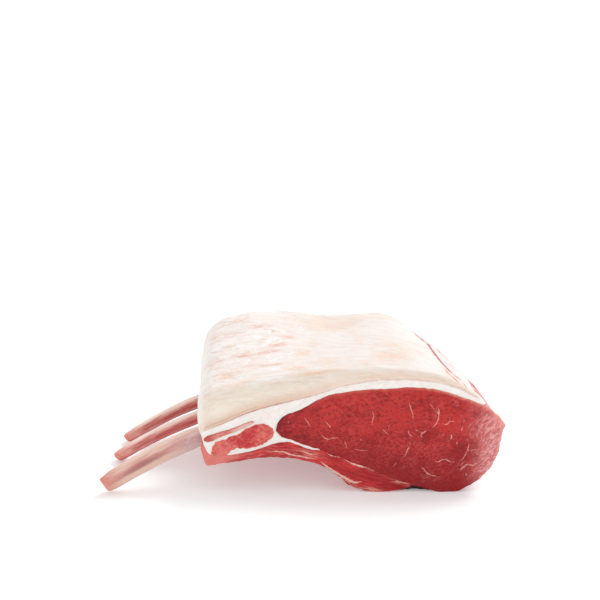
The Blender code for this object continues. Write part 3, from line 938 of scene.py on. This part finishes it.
RIDGES = (
    (1.2, (-22.9, 0.1), (-20.6, -0.3), (-17.7, -0.3)),
    (1.9, (-13.8, -2.4), (-12.5, -1.9), (-11.5, -0.9), (-10.3, 1.5), (-8.4, 3.3), (-6.7, 4.0)),
    (1.1, (-20.6, -2.0), (-18.0, -2.4), (-15.7, -2.4)),
    (1.0, (-13.0, 9.2), (-11.7, 10.2), (-10.4, 10.0)),
    (1.2, (-5.6, -10.5), (-3.7, -10.1), (-1.8, -8.2)),
    (0.9, (-27.7, -2.6), (-25.3, -4.3), (-23.0, -5.9)),
    (1.0, (0.7, -23.3), (3.5, -23.2), (5.7, -22.2)),
    (0.9, (-5.8, 10.9), (-4.5, 12.1)),
    (1.0, (-11.9, -13.3), (-9.4, -13.3), (-7.2, -12.2)),
)
# Blushes on the outside: the X and Y of each, its reach both ways, its lean and its strength.
PINK_PATCHES = (
    (-4.6, 4.8, 2.2, 2.2, 0.0, 1.0),
    (-7.0, -2.0, 4.5, 1.6, 20.0, 0.8),
    (-10.8, -7.0, 4.5, 1.4, 10.0, 1.0),
    (-20.4, 22.0, 5.0, 1.6, -8.0, 0.7),
    (-18.0, -7.0, 5.0, 1.5, -8.0, 0.8),
    (-25.0, 12.0, 6.0, 4.0, 0.0, 0.35),
    (-27.0, -5.0, 5.0, 2.0, -20.0, 0.5),
    (-12.0, 14.0, 9.0, 4.0, 0.0, 0.35),
    (12.0, 18.0, 14.0, 5.0, 0.0, 0.2),
)
TAN_PATCHES = (
    (-0.1, -10.1, 2.2, 2.6, -30.0, 1.0),
    (4.5, -26.8, 5.5, 1.5, 0.0, 1.0),
    (-9.0, -17.2, 5.0, 1.2, 0.0, 0.8),
    (-2.0, -21.5, 4.5, 1.0, 0.0, 0.7),
    (-24.4, -19.3, 4.0, 3.0, 0.0, 0.6),
    (28.4, -15.4, 4.0, 2.6, -20.0, 0.8),
    (21.3, -19.6, 3.0, 1.6, 0.0, 0.5),
    (-16.4, -14.2, 5.0, 2.0, 0.0, 0.4),
    (-20.0, -25.0, 9.0, 2.6, 6.0, 0.5),
    (22.0, -4.0, 12.0, 5.0, 0.0, 0.3),
)
EDGE_ROUNDING = 3.4  # radius of the outer edge of the cuts, where the fat is thick enough for it
# The swells of the outside, which begin and are full at those Y: the X of each, its reach and its height.
SWELLS = ((-12.0, 12.0, 0.9), (8.0, 5.0, -0.5))
SWELLS_FROM = (8.0, 26.0)
RIDGE_HEIGHT = 0.22
CREASE_DEPTH = 0.2
SEAM_DEPTH = 0.14


def paint_lines(piece, name, flat, lines):
    """Paints each point's way to the nearest line and its width there, and gives the distance and width."""
    way, width = nearest_line(flat, lines)
    paint(piece, **{name + "_way": way, name + "_width": width})
    return np.linalg.norm(way, axis=1), np.maximum(width, 0.1)


def round_rim(points, normals, on_cut, inward, nearest_rim, from_rim, radius):
    """Rounds the edge between the cuts and the outside, by the radius that its nearest rim point has."""
    reach = np.where(on_cut > 0.5, from_rim, depth_of(points))
    round_by = radius[nearest_rim]
    angle = math.radians(45.0) * np.clip(1.0 - reach / np.maximum(round_by, 0.001), 0.0, 1.0)
    drop = round_by * (1.0 - np.cos(angle))
    slide = np.where(angle > 0.0, round_by * (1.0 - np.sin(angle)) - reach, 0.0)
    into = np.where(on_cut > 0.5, drop, slide)
    aside = np.where(on_cut > 0.5, slide, drop)
    points[:, 1] += inward * into
    points -= outward_of(normals, on_cut, nearest_rim) * aside[:, None]


fat = carve("fat_cap", "fat_cover", grain=0.52, smoothing=7, cell=0.5)
points, normals = surface_of(fat)
x, y, z = points.T
on_cut, inward, nearest_rim, from_rim = cut_of(fat, points)
lean_solids = neighbours_of("loin_eye", "side_muscle", "cap_strip", "rib_meat")
from_lean = np.array([lean_solids.find_nearest(place)[3] for place in points.tolist()])
across = points[:, (0, 1)]
from_crease, crease_width = paint_lines(fat, "crease", across, CREASES)
from_ridge, ridge_width = paint_lines(fat, "ridge", across, RIDGES)
from_seam, _ = paint_lines(fat, "seam", points[:, (0, 2)], FAT_SEAMS)
paint_lines(fat, "chine", across, [CHINE_EDGE])
paint_lines(fat, "nick", across, CHINE_NICKS)
seam_x, seam_z = np.array([*FAT_SEAMS[0][1:-1], *FAT_SEAMS[1][1:]]).T
edge_x, edge_y = np.array(CHINE_EDGE[1:]).T
outside_up = step(normals[:, 2], 0.1, 0.5)
unrolled = y - on_cut * inward * from_rim
fibre = np.stack([x, unrolled + 0.2 * x, z * 0.3], axis=1)
broad = 0.35 * lumps(points, (13.0, 9.0, 13.0), 1.7)
wrinkles = 0.14 * lumps(fibre, (7.0, 2.2, 9.0), 8.3) + 0.08 * lumps(fibre, (4.0, 1.5, 5.0), 2.2)
wrinkles *= 1.0 + 0.8 * step(x, 4.0, -14.0)
paint(
    fat,
    fibre=fibre,
    cut=1.0 - step(depth_of(points), 0.2, 1.4),
    above_seam=z - np.interp(x, seam_x, seam_z),
    past_chine_edge=x - np.interp(y, edge_y, edge_x),
    pink=patch_cover(across, PINK_PATCHES) * outside_up,
    tan=patch_cover(across, TAN_PATCHES) * outside_up,
    from_lean=from_lean,
)
relief = broad + wrinkles + RIDGE_HEIGHT * step(from_ridge / ridge_width, 1.0, 0.0)
relief -= CREASE_DEPTH * step(from_crease / crease_width, 1.0, 0.0)
for middle, reach, height in SWELLS:
    swell = np.exp(-(((x - middle) / reach) ** 2)) * step(y, *SWELLS_FROM)
    relief += height * swell
top = step(z, 12.0, 18.0) * step(from_rim, 0.0, 3.0) * step(from_lean, 0.3, 2.0)
points += normals * ((1.0 - on_cut) * top * relief)[:, None]
groove = SEAM_DEPTH * step(from_seam, 0.5, 0.0) + 0.05 * step(from_lean, 1.0, 0.4)
texture = 0.05 * step(from_rim, 0.0, 2.0) * lumps(points, (4.0, 4.0, 1.6))
y += on_cut * inward * (groove + texture)
radius = np.minimum(EDGE_ROUNDING, 0.45 * np.maximum(from_lean - 0.8, 0.0))
round_rim(points, normals, on_cut, inward, nearest_rim, from_rim, radius)
move(fat, points)

FAT_WHITE = screen(239, 231, 226)
FAT_CREAM = screen(237, 219, 205)
FAT_INNER = screen(251, 243, 238)
FAT_TAN = screen(240, 200, 170)
FAT_PINK = screen(234, 178, 166)
FOLD_SHADE_PINK = screen(230, 188, 174)
CREST_HIGHLIGHT = screen(254, 251, 251)
CREASE_SHADE_PINK = screen(220, 170, 154)
RIDGE_HIGHLIGHT = screen(255, 253, 253)
INNER_SPECKLE = screen(247, 234, 226)
LOW_LEFT = screen(230, 200, 180)
LOW_RIGHT = screen(242, 222, 208)
OUTER_CREAM = screen(246, 235, 222)
OUTER_STREAK = screen(238, 206, 184)
SEAM_PINK = screen(200, 136, 118)
BLEED_PINK = screen(236, 180, 162)
LEFT_END_PAINTED_LIGHT = screen(255, 246, 238)
DRY_SKIN = screen(238, 228, 225)
DRY_SKIN_PINK = screen(228, 188, 186)
CHINE_BLOOD = screen(180, 58, 72)
NICK_BLOOD = screen(196, 92, 106)

look = Finish("lamb fat", subsurface=0.2, redness=0.5)
cut = look.painted("cut")
x = look.axis(look.place, "X")
y = look.axis(look.place, "Y")
fibre = look.painted("fibre", "Vector")
streaks = look.clouds((8.0, 2.2, 9.0), 4.0, 0.62, 0.5, vector=fibre)
fine = look.clouds((2.8, 0.9, 3.0), 3.0, 0.6, 0.5, vector=fibre)
broad = look.clouds((14.0, 14.0, 9.0))
left_part = look.step(x + broad * 14.0, 14.0, -6.0)
look.colour = look.mix(look.step(broad + streaks * 0.4, 0.6, 0.85), FAT_WHITE, FAT_CREAM)
# Painted light: the left part of the fat is painted whiter, as more light falls there.
look.lay(left_part * 0.6, FAT_INNER)
# Painted light and shade on the fine folds: thin pink lines stand in for their shade, and thin white lines
# along the crests for their highlights.
wisps = look.thread(look.clouds((6.5, 2.0, 6.0), 3.0, 0.6, 0.8, vector=fibre), 0.05)
clusters = look.step(look.clouds((9.0, 7.0, 9.0), 1.0, vector=fibre), 0.42, 0.6)
wisp_share = wisps * (0.1 + left_part * 0.34) * (0.3 + clusters * 0.7)
look.lay(wisp_share, FOLD_SHADE_PINK)
crests = look.thread(look.clouds((5.5, 1.7, 5.0), 3.0, 0.6, 0.6, vector=fibre) + 0.05, 0.06)
look.lay(crests * (0.2 + left_part * 0.7), CREST_HIGHLIGHT)
patchy = (streaks + fine) * 0.6
look.lay(look.painted("pink") * look.step(patchy, 0.42, 0.72), FAT_PINK)
look.lay(look.painted("tan") * look.step(patchy, 0.4, 0.75), FAT_TAN)
# Painted shade in the creases, and painted highlights along the ridges.
creases = look.lines("crease", 0.5)
look.lay(creases * (0.1 + fine * 0.5), CREASE_SHADE_PINK)
ridges = look.lines("ridge", 0.7)
look.lay(ridges * (0.25 + fine * 0.7), RIDGE_HIGHLIGHT)
speckle = look.clouds((1.6, 1.6, 1.6), 3.0, 0.6)
above = look.painted("above_seam") + (speckle - 0.5) * 0.4
band = look.step(above, -0.3, 0.3)
inner = look.mix(look.step(speckle, 0.4, 0.75), FAT_INNER, INNER_SPECKLE)
to_the_right = look.step(x + broad * 10.0, -8.0, 26.0)
low_outer = look.mix(to_the_right, LOW_LEFT, LOW_RIGHT)
outer = look.mix(look.step(above, 0.2, 5.0), low_outer, OUTER_CREAM)
outer = look.mix(look.step(patchy, 0.42, 0.75) * 0.3, outer, OUTER_STREAK)
cut_colour = look.mix(band, inner, outer)
second_line = look.step(abs(above - 1.0), 0.22, 0.05) * look.step(x, -8.0, -20.0) * 0.6
seams = (look.lines("seam", 0.15) + second_line) * (1.0 - to_the_right * 0.65)
cut_colour = look.mix(seams * (0.45 + speckle * 0.8), cut_colour, SEAM_PINK)
bleed = look.step(look.painted("from_lean") + speckle * 0.7, 1.0, 0.35)
cut_colour = look.mix(bleed * 0.45, cut_colour, BLEED_PINK)
look.lay(cut, cut_colour)
# Painted light: the fat's thin left end is painted whiter, for the light that it catches and lets through.
look.lay(look.step(x, -29.6, -31.6) * 0.6, LEFT_END_PAINTED_LIGHT)
past = look.painted("past_chine_edge") + (fine - 0.5) * 1.2
skin = look.step(past, -0.3, 0.5) * look.step(x, 30.0, 38.0) * (1.0 - cut)
look.lay(skin, DRY_SKIN)
look.lay(skin * look.step(fine, 0.5, 0.62) * 0.6, DRY_SKIN_PINK)
outside = 1.0 - cut
bloody = look.lines("chine", 0.25) * look.step(y + streaks * 20.0, 38.0, 22.0)
look.lay(bloody * outside * 0.9, CHINE_BLOOD)
nicks = look.lines("nick", 0.25) * look.step(fine, 0.3, 0.45)
look.lay(nicks * outside * 0.8, NICK_BLOOD)
look.finish(
    fat,
    Roughness=0.4 + fine * 0.2,
    Normal=look.bump(streaks * 0.5 + fine * 0.3 + crests * 0.15 - wisps * 0.15, 0.35),
)
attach(fat, "root")
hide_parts("fat_cap")


# ---- The rib bones ----
# Three flat ribs, scraped clean outside the rack and sawn off square. The scraping leaves pink skin and
# streaks of blood on the cream bone, and each sawn end shows its red marrow inside a hard rim.

SLICE = 1.5  # length of the slices whose middles give a rib's centre line
TIP_ROUNDING = 2.2  # length over which its tip narrows
TIP_NARROWING = 0.35  # share of its thickness that it loses there
SCRAPE_DEPTH = 0.04
# The colours of each rib along its top, its side and its underside. The top colour is a painted highlight; the
# underside colour is painted shade on ribs 2 and 3, and painted light bounced from the table on rib 1.
RIB_COLOURS = {
    1: (screen(242, 214, 200), screen(214, 150, 140), screen(232, 198, 182)),
    2: (screen(250, 228, 216), screen(230, 164, 154), screen(200, 102, 98)),
    3: (screen(250, 228, 214), screen(224, 166, 154), screen(188, 114, 112)),
}
RACK_SKIN = screen(205, 176, 178)
PALE_HAIR = screen(240, 226, 226)
GROOVE_GREY = screen(152, 92, 96)
RIB_BLOOD = screen(190, 70, 72)
UNDERSIDE_EDGE_SHADE = screen(146, 84, 90)
TIP_BLUSH = screen(220, 112, 96)
MARROW_DARK = screen(196, 92, 80)
MARROW_PALE = screen(232, 158, 132)

for number, (top_highlight_colour, side_colour, underside_shading_colour) in RIB_COLOURS.items():
    node = f"rib_bone_{number}"
    rib = carve(node, f"rib_{number}", grain=0.38, smoothing=8)
    points, normals = surface_of(rib)
    x, y, z = points.T
    tip_x = x.min()
    slices = ((x - tip_x) / SLICE).astype(int)
    counts = np.bincount(slices)
    centre_x = tip_x + SLICE * (np.arange(len(counts)) + 0.5)
    centre_y = np.bincount(slices, y) / counts
    centre_z = np.bincount(slices, z) / counts
    off_y = y - np.interp(x, centre_x, centre_y)
    off_z = z - np.interp(x, centre_x, centre_z)
    around = np.degrees(np.arctan2(off_z, abs(off_y)))
    along = x - tip_x
    centres = np.stack([centre_x, centre_y, centre_z], axis=1)
    axis = centres[6] - centres[1]
    run = points @ (axis / np.linalg.norm(axis))
    near_end = np.clip(1.0 - (run - run.min()) / TIP_ROUNDING, 0.0, 1.0)
    narrowing = TIP_NARROWING * (1.0 - np.sqrt(1.0 - near_end**2))
    lengthwise = np.stack([along, off_y, off_z], axis=1)
    points[:, 1:] -= narrowing[:, None] * lengthwise[:, 1:]
    scraped = 0.12 * lumps(lengthwise, (9.0, 1.6, 1.6), number)
    scraped += 0.05 * lumps(points, (2.0, 1.0, 1.0), number)
    points += normals * (scraped - SCRAPE_DEPTH)[:, None]
    move(rib, points)
    end_face = step(-normals[:, 0], 0.7, 0.95) * (1.0 - step(along, 1.5, 3.5))
    paint(rib, lengthwise=lengthwise, around=around, sawn=end_face)
    bone = Finish(f"scraped rib {number}", subsurface=0.15, redness=0.35)
    lengthwise = bone.painted("lengthwise", "Vector")
    along = bone.axis(lengthwise, "X")
    streaks = bone.clouds((9.0, 0.9, 0.9), 4.0, 0.6, 0.3, vector=lengthwise)
    fine = bone.clouds((3.0, 0.4, 0.4), 3.0, 0.6, 0.3, vector=lengthwise)
    blotches = bone.clouds((6.0, 4.0, 4.0), vector=lengthwise)
    around = bone.painted("around") + (streaks - 0.5) * 60.0
    paler = bone.mix(0.5, side_colour, top_highlight_colour)
    bone.colour = bone.mix(bone.step(streaks * 0.6 + fine * 0.5, 0.45, 0.75) * 0.8, side_colour, paler)
    # Painted shade on the underside of ribs 2 and 3, and painted bounce light on that of rib 1.
    underside_shading = bone.step(around, 5.0, -35.0)
    bone.lay(underside_shading * 0.9, underside_shading_colour)
    if number == 1:
        near_rack = bone.step(along + streaks * 6.0, 22.0, 34.0)
        bone.lay(near_rack * 0.75, RACK_SKIN)
        hairs = bone.thread(bone.clouds((1.4, 1.4, 0.8), 2.0, 0.5, 0.5), 0.05)
        bone.lay(near_rack * hairs * 0.5, PALE_HAIR)
        reach = bone.step(along + blotches * 4.0, 25.0, 18.0) * bone.step(along, 1.0, 12.0)
        groove = bone.step(abs(around - 2.0), 30.0, 0.0) * reach
        bone.lay(groove * 0.65, GROOVE_GREY)
    else:
        bloody = bone.step(abs(around - 5.0), 32.0, 5.0) * bone.step(blotches + along * 0.02, 0.5, 0.85)
        bone.lay(bloody * (0.3 + fine), RIB_BLOOD)
        # Painted shade in patches along the lowest edge of ribs 2 and 3.
        edge = bone.step(around, -35.0, -60.0) * bone.step(blotches, 0.35, 0.55)
        bone.lay(edge * 0.7, UNDERSIDE_EDGE_SHADE)
    # Painted highlight along the top of each rib.
    upper_highlight = bone.step(around, 22.0, 62.0)
    bone.lay(upper_highlight * 0.85, top_highlight_colour)
    blush = bone.step(along + blotches * 6.0, 12.0, 2.0)
    bone.lay(blush * 0.7, TIP_BLUSH)
    marrow = bone.mix(bone.step(fine, 0.35, 0.65), MARROW_DARK, MARROW_PALE)
    bone.lay(bone.painted("sawn"), marrow)
    bone.finish(rib, Roughness=0.42 + fine * 0.2, Normal=bone.bump(streaks + fine * 0.5, 0.3))
    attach(rib, "root")
    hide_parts(node)
